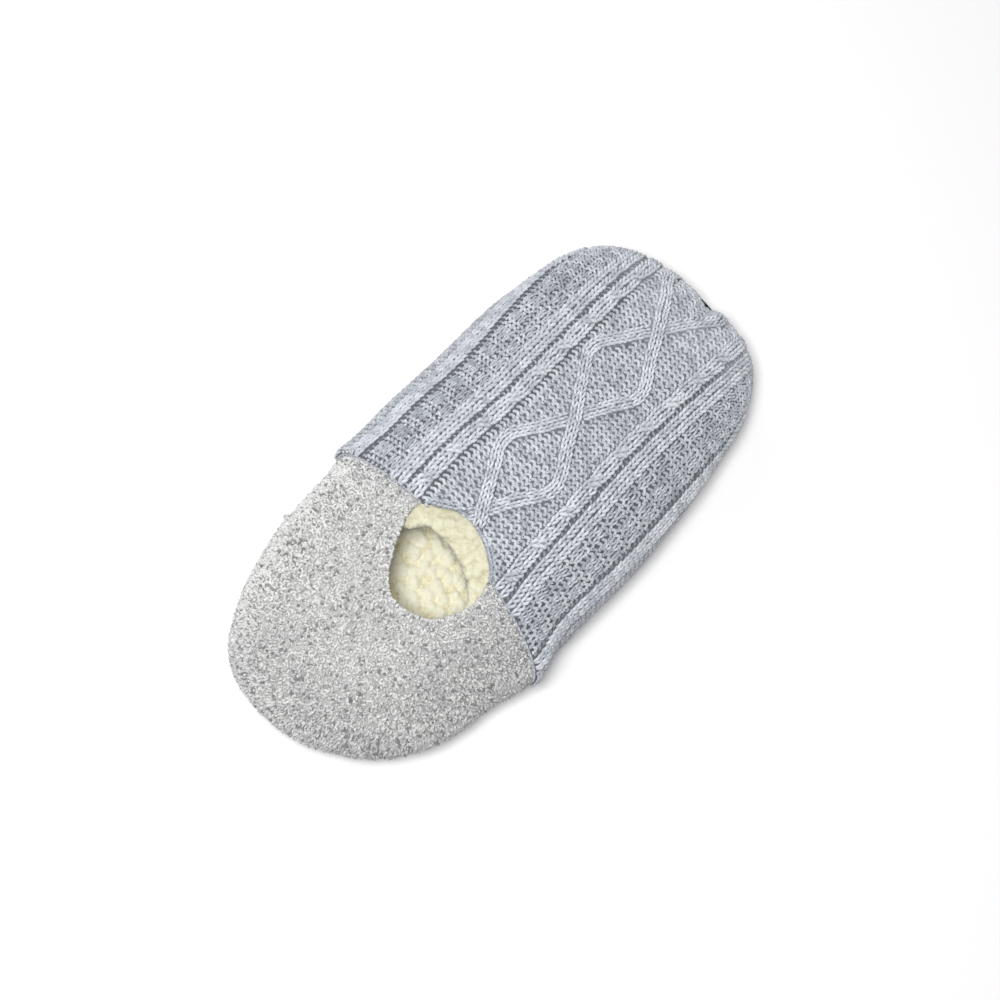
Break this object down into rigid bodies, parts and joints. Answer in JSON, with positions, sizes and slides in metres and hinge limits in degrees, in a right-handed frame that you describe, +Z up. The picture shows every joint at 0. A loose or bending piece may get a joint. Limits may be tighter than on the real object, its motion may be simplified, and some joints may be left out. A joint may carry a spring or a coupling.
{
  "type": "knit slipper",
  "caption": "Slip-on house slipper with a cable-knit vamp, a nubby looped-yarn heel panel, a hollow fleece body, a pile insole and a soft dark sole with a turned-up toe.",
  "frame": {"origin": "on the floor under the middle of the slipper's overall length and width", "axes": "+Y towards the toe, +Z up from the floor, +X to the right of a wearer who looks towards the toe"},
  "size_m": [0.1186, 0.2484, 0.0608],
  "materials": {
    "charcoal_sole": "soft matt charcoal sole",
    "cream_fleece": "deep cream fleece",
    "blue_grey_knit": "blue-grey flecked cable knit",
    "grey_looped_yarn": "light grey nubby looped yarn",
    "cream_pile": "cream pile footbed"
  },
  "bodies": {
    "root": {"sole": "charcoal_sole", "upper": "cream_fleece", "vamp": "blue_grey_knit", "heel_panel": "grey_looped_yarn", "insole": "cream_pile"}
  },
  "joints": []
}
